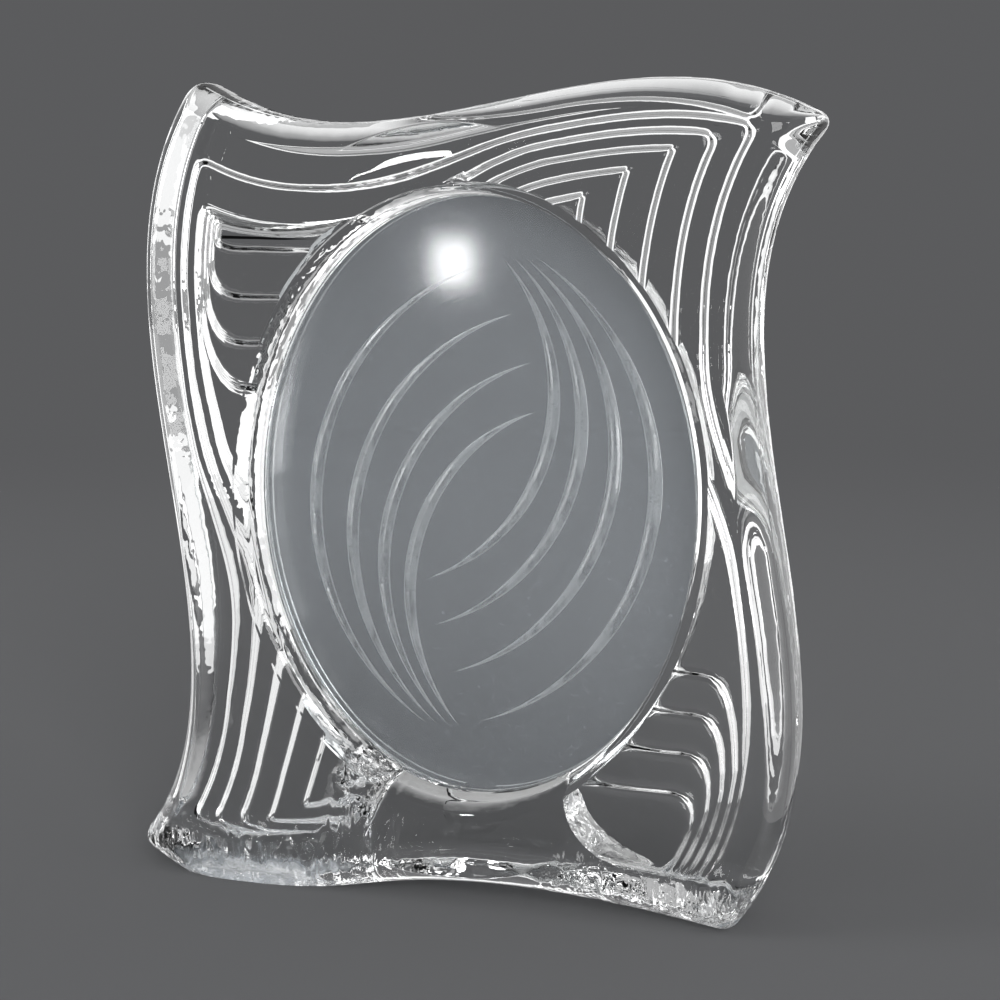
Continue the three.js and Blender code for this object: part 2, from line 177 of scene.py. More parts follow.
class OutlineSizes(PropertyGroup):
    """The wavy outline: four edges between the peak, the wing, the foot and the heel."""

    peak_x: length("Peak across", "Upper left corner, left of the middle", 83.5)
    peak_z: length("Peak up", "Upper left corner, above the middle", 125.7)
    wing_x: length("Wing across", "Upper right corner, right of the middle", 107.5)
    wing_z: length("Wing up", "Upper right corner, above the middle", 111.2)
    foot_x: length("Foot across", "Lower right corner, right of the middle", 84.5)
    foot_z: length("Foot down", "Lower right corner, below the middle", 120.7)
    dip_reach: length("Dip reach", "How far the top edge leaves the peak", 61.7)
    dip_fall: length("Dip fall", "How far the top edge falls from the peak", 38.6)
    crest_reach: length("Crest reach", "How far before the wing the top edge crests", 61.7)
    crest_rise: length("Crest rise", "How far above the wing the top edge crests", 36)
    waist_reach: length("Waist reach", "How far a side edge draws in from the wing or the heel", 53.5)
    waist_fall: length("Waist fall", "How far along the side it draws in", 60.1)
    bulge_reach: length("Bulge reach", "How far a side edge swells by the foot or the peak", 50.7)
    bulge_rise: length("Bulge rise", "How far along the side it swells", 67.8)
    arch_reach: length("Arch reach", "How far the bottom edge leaves the foot", 146.5)
    arch_rise: length("Arch rise", "How far the bottom edge rises from the foot", 23.7)
    sole_reach: length("Sole reach", "How far before the heel the bottom edge swells", 62.9)
    sole_fall: length("Sole fall", "How far below the heel the bottom edge swells", 41.5)
    tip_radius: length("Tip radius", "Rounding of the four tips", 4.2)
    crease_radius: length("Crease radius", "Rounding of the crease behind each tip", 4.2)
    edge_width: length("Edge width", "Width of the rounding of the edges", 9)
    edge_depth: length("Edge depth", "Depth of the rounding of the edges", 17)


class ReliefSizes(PropertyGroup):
    """The relief pressed into the back: shelves along the outline, stairs and chevrons in the corners."""

    shelves: IntProperty(name="Shelves", description="Shelves along the whole outline", default=3, min=1)
    rim_step: length("Rim step", "Depth of the first shelf", 7)
    shelf_step: length("Shelf step", "Depth of each further shelf", 3)
    shelf_slope: length("Shelf slope", "Width of the riser of a shelf", 4.6)
    shelf_turn: length("Shelf turn", "Rounding of the corners of a shelf", 4)
    top_far: length("Top far", "First shelf from the top edge, at the peak", 7)
    top_far_spacing: length("Top far spacing", "Between shelves there", 12.7)
    top_near: length("Top near", "First shelf from the top edge, at the wing", 3.5)
    top_near_spacing: length("Top near spacing", "Between shelves there", 4.5)
    top_swing_start: share("Top swing start", "Where along the top the shelves start to swing over", 0.08)
    top_swing_end: share("Top swing end", "Where along the top they have swung over", 0.56)
    side_far: length("Side far", "First shelf from a side edge, at the wing and the heel", 6)
    side_far_spacing: length("Side far spacing", "Between shelves there", 8)
    side_near: length("Side near", "First shelf from a side edge, at the foot and the peak", 1.4)
    side_near_spacing: length("Side near spacing", "Between shelves there", 5.6)
    side_swing_start: share("Side swing start", "Where along a side the shelves start to swing over", 0.31)
    side_swing_end: share("Side swing end", "Where along a side they have swung over", 0.54)
    bottom_near: length("Bottom near", "First shelf from the bottom edge, at the foot", 4)
    bottom_near_spacing: length("Bottom near spacing", "Between shelves there", 2.5)
    bottom_far: length("Bottom far", "First shelf from the bottom edge, at the heel", 10)
    bottom_far_spacing: length("Bottom far spacing", "Between shelves there", 5)
    stairs: IntProperty(name="Stairs", description="Stairs behind the peak and the foot", default=4, min=0)
    stair_step: length("Stair step", "Depth of each stair", 3)
    stair_slope: length("Stair slope", "Width of the riser of a stair", 3.6)
    stair_draw: length("Stair draw", "How far each stair draws in from the side", 2.6)
    stair_drop: length("Stair drop", "How far each stair draws in from the top or the bottom", 0.6)
    stair_corner: length("Stair corner", "How far from the side wall a ledge starts to sweep", 10)
    stair_sweep: share("Stair sweep", "Share of the side wall that the sweep of a ledge takes", 0.45)
    upper_ledge: length("Upper ledge", "Height from which the ledges behind the peak are counted", 14.6)
    upper_ledge_spacing: length("Upper ledge spacing", "Height between them", 14.2)
    lower_ledge: length("Lower ledge", "Depth from which the ledges behind the foot are counted", 31.5)
    lower_ledge_spacing: length("Lower ledge spacing", "Height between them", 11.3)
    ledge_ease: FloatProperty(
        name="Ledge ease", description="Riser of a ledge over that of a stair", default=1.8, min=0
    )
    chevrons: IntProperty(name="Chevrons", description="Behind the wing and the heel", default=3, min=0)
    chevron_step: length("Chevron step", "Depth of each chevron", 3)
    chevron_slope: length("Chevron slope", "Width of the riser of a chevron", 3.6)
    chevron_top: length("Chevron top", "Between chevrons along the top or bottom edge", 5.5)
    chevron_side: length("Chevron side", "Between chevrons along a side edge", 10)


class BaseSizes(PropertyGroup):
    """The apron under the window and the feet beside it, which the relief leaves solid."""

    apron_top: length("Apron top", "Where the flanks of the apron start, below the middle", 82)
    apron_left: length("Apron left", "Left flank of the apron from the middle", 26)
    apron_right: length("Apron right", "Right flank of the apron from the middle", 32)
    flank_flare: length("Flank flare", "How far a flank leans out at first", 3)
    flank_drop: length("Flank drop", "How far a flank drops before it turns out", 26)
    shoulder_x: length("Shoulder across", "Where a flank has turned out over the foot", 57)
    shoulder_z: length("Shoulder down", "Height of that turn, below the middle", 107)
    flank_end_x: length("Flank end across", "Where a flank ends, from the middle", 100)
    flank_end_z: length("Flank end down", "Where a flank ends, below the middle", 120)
    flank_round: length("Flank rounding", "Rounding of the back edge of a flank", 2.5)
    flank_draft: length("Flank draft", "How far a flank widens towards the front", 2.5)


class WindowSizes(PropertyGroup):
    """The oval window, the rebate behind it and the collar round that."""

    throat_x: length("Throat across", "Half width of the window", 71)
    throat_z: length("Throat up", "Half height of the window", 91.4)
    roll_width: length("Roll width", "Width of the roll of the front into the window", 15)
    roll_depth: length("Roll depth", "Depth of that roll", 19)
    wall_draft: length("Wall draft", "How far the wall closes in behind the roll", 1)
    fit: length("Fit", "Clearance of the photo pack", 0.3)
    collar_wall: length("Collar wall", "Wall round the rebate", 3)
    collar_draft: length("Collar draft", "How far the collar widens to its foot", 0.5)
    collar_round: length("Collar rounding", "Rounding of the back of the collar", 1)
    scoop_radius: length("Scoop radius", "Radius of the finger scoop", 15)
    scoop_depth: length("Scoop depth", "Depth of the finger scoop", 6)


class PackSizes(PropertyGroup):
    """The photo pack: polished edges, cut crescents and the section of the ring."""

    arris: length("Arris", "Rounding of the edges of the sheet and the panel", 0.3)
    crescents: IntProperty(name="Crescents", description="Crescents in each fan", default=4, min=0)
    crescent_width: length("Crescent width", "Width of a cut at its middle", 4.4)
    crescent_depth: length("Crescent depth", "Depth of a cut at its middle", 1.3)
    tip_x: length("Tip across", "Tip of the shortest crescent, left of the middle", -18)
    tip_curl: length("Tip curl", "How fast the other tips come round", 2)
    tip_z: length("Tip up", "Tip of the shortest crescent, above the middle", -26.5)
    tip_spacing: length("Tip spacing", "Height between tips", 14.5)
    gather_x: length("Gather across", "Upper end of the shortest crescent", 6.5)
    gather_z: length("Gather up", "Height at which the crescents gather", 72.5)
    gather_spacing: length("Gather spacing", "Between the gathered ends", 3.5)
    sweep: length("Sweep", "Bulge of the shortest crescent", 28)
    sweep_spacing: length("Sweep spacing", "Further bulge of each longer one", 6)
    ring_width: length("Ring width", "Width of the ring", 1.6)
    ring_split: length("Ring split", "Opening of the ring", 10)


class FinishLook(PropertyGroup):
    """Colours of the clear materials."""

    crystal: tint("Crystal", "Tint of the casting", (0.985, 0.99, 0.988))
    sheet: tint("Sheet", "Tint of the cover sheet", (0.96, 0.975, 0.985))
    haze: tint("Haze", "Colour of the haze on the cover sheet", (0.72, 0.78, 0.84))
    panel: tint("Panel", "Tint of the cut panel", (0.975, 0.985, 0.985))
    cuts: tint("Cuts", "Colour of the ground cuts in the panel", (0.95, 0.96, 0.97))
    ring: tint("Ring", "Tint of the ring", (0.93, 0.95, 0.95))


class StudioLook(PropertyGroup):
    """Camera, backdrop and daylight."""

    turn: angle("Turn", "Camera to the right", 20.76)
    tilt: angle("Tilt", "Camera above", 7.9)
    distance: length("Distance", "Camera to the middle of the front", 624.5)
    lens: FloatProperty(name="Lens", description="Focal length in millimetres", default=77.4)
    shift_x: FloatProperty(name="Shift across", description="Camera shift across", default=0.0565)
    shift_y: FloatProperty(name="Shift up", description="Camera shift up", default=0.0097)
    backdrop: tint("Backdrop", "Grey of the floor and the background", (0.105, 0.106, 0.11))
    daylight: FloatProperty(name="Daylight", description="Strength of the even light", default=0.75, min=0)


def settings():
    """All the sizes and looks of the scene."""
    return bpy.context.scene.crystal_frame


def half_turn(points):
    """The points turned half round about the middle."""
    return [-point for point in points]


def outline_edges():
    """The top, right, bottom and left edges, each as the four control points of a curve."""
    size = settings().outline
    peak = Vector((-size.peak_x, size.peak_z))
    wing = Vector((size.wing_x, size.wing_z))
    foot = Vector((size.foot_x, -size.foot_z))
    heel = -wing
    dip = Vector((size.dip_reach, -size.dip_fall))
    crest = Vector((-size.crest_reach, size.crest_rise))
    waist = Vector((size.waist_reach, size.waist_fall))
    bulge = Vector((size.bulge_reach, size.bulge_rise))
    arch = Vector((-size.arch_reach, size.arch_rise))
    sole = Vector((size.sole_reach, -size.sole_fall))
    return (
        (peak, peak + dip, wing + crest, wing),
        (wing, wing - waist, foot + bulge, foot),
        (foot, foot + arch, heel + sole, heel),
        (heel, heel + waist, peak - bulge, peak),
    )


def along(edge, t):
    """The point of an edge and its heading there."""
    start, first, second, end = edge
    s = 1 - t
    point = start * s**3 + first * (3 * s * s * t) + second * (3 * s * t * t) + end * t**3
    heading = (first - start) * s * s + (second - first) * (2 * s * t) + (end - second) * t * t
    return point, heading.normalized()


def inset(edge, first, last, swing_start=0.0, swing_end=1.0):
    """An edge moved inwards by a distance that swings from one to another, carried on past both ends."""
    points = []
    for i in range(RUN_POINTS + 1):
        t = i / RUN_POINTS
        point, heading = along(edge, t)
        swing = min(max((t - swing_start) / (swing_end - swing_start), 0), 1)
        distance = first + (last - first) * swing * swing * (3 - 2 * swing)
        points.append(point + Vector((heading.y, -heading.x)) * distance)
    points.insert(0, points[0] - along(edge, 0)[1] * RUN_ON)
    points.append(points[-1] + along(edge, 1)[1] * RUN_ON)
    return points


def crossing(first, second):
    """Where two runs of points cross, and the segment of each that the crossing lies on."""
    for i in range(len(first) - 1):
        for j in range(len(second) - 1):
            meet = intersect_line_line_2d(first[i], first[i + 1], second[j], second[j + 1])
            if meet:
                return meet, i, j
    raise RuntimeError("two runs of the relief do not meet")


def spaced(points, skip_start, skip_end, count):
    """Evenly spaced points along a run, without a length at each end."""
    reach = [0.0]
    for before, after in zip(points, points[1:]):
        reach.append(reach[-1] + (after - before).length)
    result = []
    segment = 0
    for i in range(count):
        place = skip_start + (reach[-1] - skip_start - skip_end) * i / (count - 1)
        while segment < len(points) - 2 and reach[segment + 1] < place:
            segment += 1
        part = (place - reach[segment]) / (reach[segment + 1] - reach[segment])
        result.append(points[segment].lerp(points[segment + 1], part))
    return result


def clear_of(point, *others):
    """Whether a point lies off some others."""
    return all((point - other).length > SLIP for other in others)


def bend(before, corner, after):
    """The points of a rounded corner between two runs."""
    result = []
    for i in range(1, TURN_POINTS + 1):
        t = i / (TURN_POINTS + 1)
        result.append(before * (1 - t) ** 2 + corner * (2 * t * (1 - t)) + after * t * t)
    return result


def mitred(runs):
    """Runs that cross one after the other, each cut to the part between its two crossings."""
    meets = [crossing(runs[i - 1], runs[i]) for i in range(len(runs))]
    parts = []
    for i, run in enumerate(runs):
        meet, _, first = meets[i]
        next_meet, last, _ = meets[(i + 1) % len(runs)]
        between = [point for point in run[first + 1:last + 1] if clear_of(point, meet, next_meet)]
        parts.append([meet, *between, next_meet])
    return parts


def swept(parts, setbacks):
    """Parts as one closed run, with each corner drawn back by a length before it and one after it."""
    lines = []
    for i, part in enumerate(parts):
        after = max(setbacks[i][1], LEAST_TURN)
        before = max(setbacks[(i + 1) % len(parts)][0], LEAST_TURN)
        lines.append(spaced(part, after, before, EDGE_POINTS))
    result = []
    for i, line in enumerate(lines):
        result += bend(lines[i - 1][-1], parts[i][0], line[0]) + line
    return result


def closed(runs, radius):
    """Runs as one closed run, with every corner rounded by a radius."""
    parts = mitred(runs)
    setbacks = []
    for i, part in enumerate(parts):
        inward = (parts[i - 1][-2] - parts[i - 1][-1]).normalized()
        onward = (part[1] - part[0]).normalized()
        setback = radius / math.tan(inward.angle(onward) / 2)
        setbacks.append((setback, setback))
    return swept(parts, setbacks)


def oval(half_x, half_z):
    """An oval run about the middle."""
    turns = (2 * math.pi * i / OVAL_POINTS for i in range(OVAL_POINTS))
    return [Vector((half_x * math.cos(turn), half_z * math.sin(turn))) for turn in turns]


def quarter(width, depth, points):
    """The quarter of an oval that leaves a face and ends square to it, as pairs of width and depth."""
    turns = (math.pi / 2 * i / points for i in range(points + 1))
    return [(width * math.sin(turn), depth * (1 - math.cos(turn))) for turn in turns]


def ogee(width, depth):
    """A riser that leaves one face and joins the next in an S, as pairs of width and depth."""
    shoulder = quarter(width / 2, depth / 2, OGEE_POINTS)
    cove = [(width - across, depth - down) for across, down in reversed(shoulder[:-1])]
    return shoulder + cove


def at_depth(points, y):
    """A run in the plane of the frame as places in space."""
    return [Vector((point.x, y, point.y + MIDDLE_Z)) for point in points]


def loft(name, rings):
    """A closed solid carried through rings of as many points each."""
    bm = bmesh.new()
    start = bm.faces.new([bm.verts.new(place) for place in rings[0]])
    cap = start
    for before, after in zip(rings, rings[1:]):
        made = bmesh.ops.extrude_face_region(bm, geom=[cap])["geom"]
        if cap is not start:
            bmesh.ops.delete(bm, geom=[cap], context="FACES_ONLY")
        cap = next(item for item in made if isinstance(item, bmesh.types.BMFace))
        moved = {tuple(vert.co): vert for vert in cap.verts}
        for old, new in zip(before, after):
            moved[tuple(old)].co = new
    bmesh.ops.recalc_face_normals(bm, faces=bm.faces)
    return finished(name, bm)


def between_faces(name, rings, front, back):
    """A closed solid with the same runs and depths under its front and under its back."""
    ahead = [at_depth(run, front + down) for run, down in rings]
    behind = [at_depth(run, back - down) for run, down in reversed(rings)]
    return loft(name, ahead + behind)


def finished(name, bm):
    """An object made from a bmesh."""
    mesh = bpy.data.meshes.new(name)
    bm.to_mesh(mesh)
    bm.free()
    made = bpy.data.objects.new(name, mesh)
    bpy.context.collection.objects.link(made)
    return made


def joined(solid, operation, tools):
    """A solid with others taken away from it or added to it, one after the other."""
    for tool in tools:
        change = solid.modifiers.new(tool.name, "BOOLEAN")
        change.operation = operation
        change.solver = "MANIFOLD"
        change.object = tool
    changed = solid.evaluated_get(bpy.context.evaluated_depsgraph_get())
    mesh = bpy.data.meshes.new_from_object(changed)
    solid.modifiers.clear()
    solid.data = mesh
    for tool in tools:
        bpy.data.objects.remove(tool)
    return solid


def polished(piece, sharp_degrees):
    """Smooth shading up to an angle, with the flat faces kept flat."""
    bm = bmesh.new()
    bm.from_mesh(piece.data)
    bmesh.ops.remove_doubles(bm, verts=bm.verts, dist=1e-6)
    bm.to_mesh(piece.data)
    bm.free()
    piece.data.shade_smooth()
    piece.data.set_sharp_from_angle(angle=math.radians(sharp_degrees))
    weighting = piece.modifiers.new("weighted normals", "WEIGHTED_NORMAL")
    weighting.keep_sharp = True
    return piece


def dressed(piece, node, body, material):
    """Puts a finished piece in the place of its solid."""
    piece.data.materials.clear()
    piece.data.materials.append(material)
    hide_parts(node)
    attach(piece, body)


class Value:
    """A socket of a material that can be used in sums."""

    def __init__(self, finish, socket):
        self.finish = finish
        self.socket = socket

    def sum(self, operation, first, second):
        """A sum of two values, one of which may be a plain number."""
        return self.finish.node("ShaderNodeMath", {"operation": operation}, {0: first, 1: second}, "Value")

    def __add__(self, other):
        return self.sum("ADD", self, other)

    def __radd__(self, other):
        return self.sum("ADD", other, self)

    def __sub__(self, other):
        return self.sum("SUBTRACT", self, other)

    def __rsub__(self, other):
        return self.sum("SUBTRACT", other, self)

    def __mul__(self, other):
        return self.sum("MULTIPLY", self, other)


class Finish:
    """The nodes of one material or of the world."""

    def __init__(self, owner):
        owner.use_nodes = True
        self.owner = owner
        self.tree = owner.node_tree
        self.tree.nodes.clear()

    def node(self, kind, options, inputs, output=None):
        """Adds a node with its options and the values or links of its inputs."""
        node = self.tree.nodes.new(kind)
        for name, option in options.items():
            setattr(node, name, option)
        for name, value in inputs.items():
            if isinstance(value, Value):
                self.tree.links.new(value.socket, node.inputs[name])
            else:
                node.inputs[name].default_value = value
        return Value(self, node.outputs[output]) if output else None

    def place(self):
        """Places on the piece, in metres."""
        return self.node("ShaderNodeTexCoord", {}, {}, "Object")

    def vector(self, operation, *inputs):
        """A sum of vectors."""
        inputs = dict(enumerate(inputs))
        return self.node("ShaderNodeVectorMath", {"operation": operation}, inputs, "Vector")

    def part(self, vector, axis):
        """One part of a vector."""
        return self.node("ShaderNodeSeparateXYZ", {}, {"Vector": vector}, axis)

    def upright(self, place):
        """Places that are drawn out upwards, for streaks."""
        return self.vector("MULTIPLY", place, UPRIGHT)

    def noise(self, place, scale, detail):
        """Cloudy noise from 0 to 1."""
        inputs = {"Vector": place, "Scale": scale, "Detail": detail}
        return self.node("ShaderNodeTexNoise", {}, inputs, "Fac")

    def ramp(self, value, low, high):
        """A value that rises from 0 at low to 1 at high."""
        inputs = {"Value": value, "From Min": low, "From Max": high}
        return self.node("ShaderNodeMapRange", {"interpolation_type": "SMOOTHSTEP"}, inputs, "Result")

    def fall(self, value, low, high):
        """A value that falls from 1 at low to 0 at high."""
        return 1 - self.ramp(value, low, high)

    def held(self, value):
        """A value that is kept between 0 and 1."""
        return self.ramp(value, 0, 1)

    def bump(self, height, distance, facing=None):
        """A relief that only shows in the light."""
        inputs = {"Height": height, "Distance": distance}
        if facing:
            inputs["Normal"] = facing
        return self.node("ShaderNodeBump", {}, inputs, "Normal")

    def clear(self, colour, roughness, normal, index):
        """Clear glass or plastic."""
        inputs = {
            "Base Color": (*colour, 1),
            "Roughness": roughness,
            "IOR": index,
            "Transmission Weight": 1.0,
            "Normal": normal,
        }
        return self.node("ShaderNodeBsdfPrincipled", {}, inputs, "BSDF")

    def mixed(self, amount, first, second):
        """One shader that gives way to another by an amount from 0 to 1."""
        return self.node("ShaderNodeMixShader", {}, {"Fac": amount, 1: first, 2: second}, "Shader")

    def frosted(self, clear, amount, colour):
        """Clear glass or plastic that is whitened by an amount from 0 to 1."""
        inputs = {"Base Color": (*colour, 1), "Roughness": FILM_ROUGHNESS}
        film = self.node("ShaderNodeBsdfPrincipled", {}, inputs, "BSDF")
        return self.mixed(amount, clear, film)

    def surface(self, shader):
        """The material, ended with a shader."""
        self.node("ShaderNodeOutputMaterial", {}, {"Surface": shader})
        return self.owner


def melted_roll(finish, place):
    """Which way the glass faces, evened out where it rolls into the window and the finger scoop."""
    size = settings().window
    facing = finish.node("ShaderNodeNewGeometry", {}, {}, "Normal")
    across = finish.part(place, "X") * (1 / size.throat_x)
    up = (finish.part(place, "Z") - MIDDLE_Z) * (1 / size.throat_z)
    reach = across * across + up * up
    lip = finish.fall(reach, *LIP_REACH)
    front = finish.fall(finish.part(place, "Y"), *ROLL_FRONT)
    rolled = finish.held(lip + front) * finish.fall(reach, *ROLL_REACH)
    below = finish.fall(up, *SCOOP_TOP) * finish.fall(across * across, *SCOOP_SIDE_SQUARED)
    rolled = finish.held(rolled + below * finish.fall(reach, *SCOOP_REACH))
    even = finish.vector("NORMALIZE", finish.vector("MULTIPLY", facing, EVENED))
    aside = finish.node("ShaderNodeLayerWeight", {}, {"Blend": 0.5, "Normal": even}, "Facing")
    ends = {"Factor": rolled * finish.fall(aside, *SEEN_ASIDE), "A": facing, "B": even}
    return finish.node("ShaderNodeMix", {"data_type": "VECTOR"}, ends, "Result")


def crystal_finish():
    """Fire-polished crystal, rippled and wavy from the mould, with stippled feet and ground soles."""
    finish = Finish(bpy.data.materials.new("fire-polished crystal"))
    look = settings().finish
    place = finish.place()
    height = finish.part(place, "Z")
    across = finish.part(place, "X")
    sole = finish.fall(height, *SOLE_HEIGHT)
    foot = finish.fall(height, *FOOT_HEIGHT) * finish.ramp(across * across, *APRON_SQUARED)
    left_flank = finish.ramp(across, *FLANK_START) * finish.fall(across, *FLANK_END)
    foot = finish.held(foot + left_flank * finish.fall(height, *FLANK_HEIGHT))
    pressed_side = finish.ramp(finish.part(place, "Y"), *PRESSED_DEPTH)
    ripple = finish.noise(place, scale=45, detail=1) * RIPPLE
    waves = finish.noise(place, scale=120, detail=2) * pressed_side * WAVES
    chips = finish.noise(place, scale=220, detail=3) * sole
    stipple = finish.noise(finish.upright(place), scale=170, detail=2) * foot * STIPPLE
    uneven = ripple + waves + chips + stipple
    normal = finish.bump(uneven, distance=0.002, facing=melted_roll(finish, place))
    clear = finish.clear(look.crystal, sole * SOLE_ROUGHNESS, normal, index=1.53)
    return finish.surface(finish.frosted(clear, chips * CHIP_WHITE, look.haze))


def sheet_finish():
    """Clear acetate with a faint cloudy haze and specks of dust."""
    finish = Finish(bpy.data.materials.new("clear acetate"))
    look = settings().finish
    place = finish.place()
    upper = finish.ramp(finish.part(place, "Z"), SHEET_LOW[2], MIDDLE_Z)
    cloud = finish.noise(place, scale=14, detail=3)
    dust = finish.ramp(finish.noise(place, scale=800, detail=0), *DUST)
    haze = LEAST_HAZE + upper * UPPER_HAZE + cloud * CLOUD_HAZE + dust * DUST_HAZE
    normal = finish.bump(finish.noise(place, scale=20, detail=1), distance=0.0001)
    clear = finish.clear(look.sheet, SHEET_ROUGHNESS, normal, index=1.49)
    return finish.surface(finish.frosted(clear, haze, look.haze))


def panel_finish():
    """Clear glass, polished on its faces and ground white in streaks in the cuts."""
    finish = Finish(bpy.data.materials.new("cut glass"))
    look = settings().finish
    place = finish.place()
    depth = finish.part(place, "Y")
    cut = finish.fall(depth, *CUT_DEPTH) * finish.ramp(depth, *PANEL_FACE)
    edge = finish.ramp(depth, *CUT_EDGE)
    streaks = finish.ramp(finish.noise(finish.upright(place), scale=150, detail=3), *STREAKS)
    white = finish.held(LEAST_GROUND + streaks * STREAK_GROUND + edge)
    normal = finish.bump(finish.noise(place, scale=25, detail=1), distance=0.00005)
    clear = finish.clear(look.panel, cut * CUT_ROUGHNESS, normal, index=1.52)
    return finish.surface(finish.frosted(clear, cut * white, look.cuts))


def ring_finish():
    """Clear nylon with a soft moulded surface."""
    finish = Finish(bpy.data.materials.new("clear nylon"))
    look = settings().finish
    grain = finish.noise(finish.place(), scale=900, detail=2)
    roughness = grain * GRAIN_ROUGHNESS + NYLON_ROUGHNESS
    normal = finish.bump(grain, distance=0.00002)
    return finish.surface(finish.clear(look.ring, roughness, normal, index=1.5))


def casting_slab():
    """The glass inside the outline, rounded at the front and the back."""
    size = settings().outline
    edges = outline_edges()
    rings = []
    for across, down in quarter(size.edge_width, size.edge_depth, ROUND_POINTS):
        near = size.edge_width - across
        radius = max(size.tip_radius - near, size.crease_radius)
        run = closed([inset(edge, near, near) for edge in edges], radius)
        rings.append((run, down))
    return between_faces("crystal_body_look", rings, FRONT, BACK)


def shelf_edges(number, further):
    """The top, right, bottom and left runs of a shelf, moved further in by a distance."""
    size = settings().relief
    top, right, bottom, left = outline_edges()
    top_far = size.top_far + size.top_far_spacing * number + further
    top_near = size.top_near + size.top_near_spacing * number + further
    side_far = size.side_far + size.side_far_spacing * number + further
    side_near = size.side_near + size.side_near_spacing * number + further
    bottom_near = size.bottom_near + size.bottom_near_spacing * number + further
    bottom_far = size.bottom_far + size.bottom_far_spacing * number + further
    return (
        inset(top, top_far, top_near, size.top_swing_start, size.top_swing_end),
        inset(right, side_far, side_near, size.side_swing_start, size.side_swing_end),
        inset(bottom, bottom_near, bottom_far),
        inset(left, side_far, side_near, size.side_swing_start, size.side_swing_end),
    )


def shelf_floor(number):
    """The depth of a shelf under the back."""
    size = settings().relief
    return size.rim_step + size.shelf_step * number


def shelves():
    """All the shelves as one stepped solid."""
    size = settings().relief
    rings = [at_depth(closed(shelf_edges(0, 0), size.shelf_turn), BACK + OVERCUT)]
    for number in range(size.shelves):
        step = size.shelf_step if number else size.rim_step
        above = BACK - shelf_floor(number) + step
        for across, down in ogee(size.shelf_slope, step):
            rings.append(at_depth(closed(shelf_edges(number, across), size.shelf_turn), above - down))
    return loft("shelves", rings)


def corner_walls(roof_in, side_in, on_right, lower):
    """The roof and a side wall of an upper corner, or those of a lower one turned half round."""
    last = settings().relief.shelves - 1
    roof, _, sole, _ = shelf_edges(last, roof_in)
    _, right, _, left = shelf_edges(last, side_in)
    if lower:
        return half_turn(sole), half_turn(left if on_right else right)
    return roof, right if on_right else left


def stair_run(number, further, lower):
    """A ledge that sweeps into a side wall under a roof, behind the peak or the foot."""
    size = settings().relief
    roof_in = size.stair_drop * number + further
    side_in = size.stair_draw * number + further
    roof, side = corner_walls(roof_in, side_in, False, lower)
    ledge = size.upper_ledge + size.upper_ledge_spacing * number
    if lower:
        ledge = size.lower_ledge + size.lower_ledge_spacing * number
    ledge += further * size.ledge_ease
    far = 2 * settings().outline.wing_x
    floor = [Vector((far, ledge)), Vector((-far, ledge))]
    end = [Vector((0, far)), Vector((0, -far))]
    sweep = size.stair_sweep * (crossing(side, roof)[0].y - ledge)
    turn = size.shelf_turn / 2
    corners = [(0, 0), (size.stair_corner, sweep), (turn, turn), (0, 0)]
    run = swept(mitred([floor, side, roof, end]), corners)
    return half_turn(run) if lower else run


def chevron_run(number, further, lower):
    """A roof and a side wall that meet, behind the wing or the heel."""
    size = settings().relief
    roof_in = size.chevron_top * number + further
    side_in = size.chevron_side * number + further
    roof, side = corner_walls(roof_in, side_in, True, lower)
    far = 2 * settings().outline.wing_x
    end = [Vector((0, -far)), Vector((0, far))]
    floor = [Vector((far, 0)), Vector((-far, 0))]
    turn = size.shelf_turn / 2
    run = swept(mitred([end, roof, side, floor]), [(0, 0), (0, 0), (turn, turn), (0, 0)])
    return half_turn(run) if lower else run


def pressed(name, run, number, step, slope):
    """The hollows of one number behind an upper and a lower corner, a step deeper than those before."""
    above = BACK - shelf_floor(settings().relief.shelves - 1) - step * (number - 1)
    profile = [(0, -OVERCUT)] + ogee(slope, step)
    hollows = []
    for lower in (False, True):
        rings = [at_depth(run(number, across, lower), above + SLIP - down) for across, down in profile]
        hollows.append(loft(name, rings))
    return hollows


def flank(side, apron, widen):
    """One flank of the base, from the apron out to the end of a foot, widened by a distance."""
    size = settings().base
    curve = (
        Vector((apron, -size.apron_top)),
        Vector((apron + size.flank_flare, -size.apron_top - size.flank_drop)),
        Vector((size.shoulder_x, -size.shoulder_z)),
        Vector((size.flank_end_x, -size.flank_end_z)),
    )
    points = []
    for i in range(EDGE_POINTS + 1):
        point, heading = along(curve, i / EDGE_POINTS)
        point += Vector((-heading.y, heading.x)) * widen
        points.append(Vector((side * point.x, point.y)))
    return points


def standing(draft, rounding):
    """How far out a wall stands at each depth, from its foot at the front to its rounded back."""
    profile = [(draft, FRONT)]
    for across, down in reversed(quarter(rounding, rounding, ROUND_POINTS // 2)):
        profile.append((across - rounding, BACK - down))
    profile.append((-rounding, BACK + 2 * OVERCUT))
    return profile


def base():
    """The apron and the feet, rounded at the back and wider towards the front."""
    size = settings().base
    low = -2 * settings().outline.peak_z
    under = [Vector((size.flank_end_x, low)), Vector((-size.flank_end_x, low))]
    rings = []
    for widen, y in standing(size.flank_draft, size.flank_round):
        right = flank(1, size.apron_right, widen)
        left = flank(-1, size.apron_left, widen)
        rings.append(at_depth(right + under + left[::-1], y))
    return loft("base", rings)


def rebate_half():
    """Half width and half height of the rebate."""
    fit = settings().window.fit
    return PACK_X + fit, PACK_Z + fit


def collar():
    """The wall that the photo pack sits in, which the relief leaves standing."""
    size = settings().window
    half_x, half_z = (half + size.collar_wall for half in rebate_half())
    profile = standing(size.collar_draft, size.collar_round)
    return loft("collar", [at_depth(oval(half_x + out, half_z + out), y) for out, y in profile])


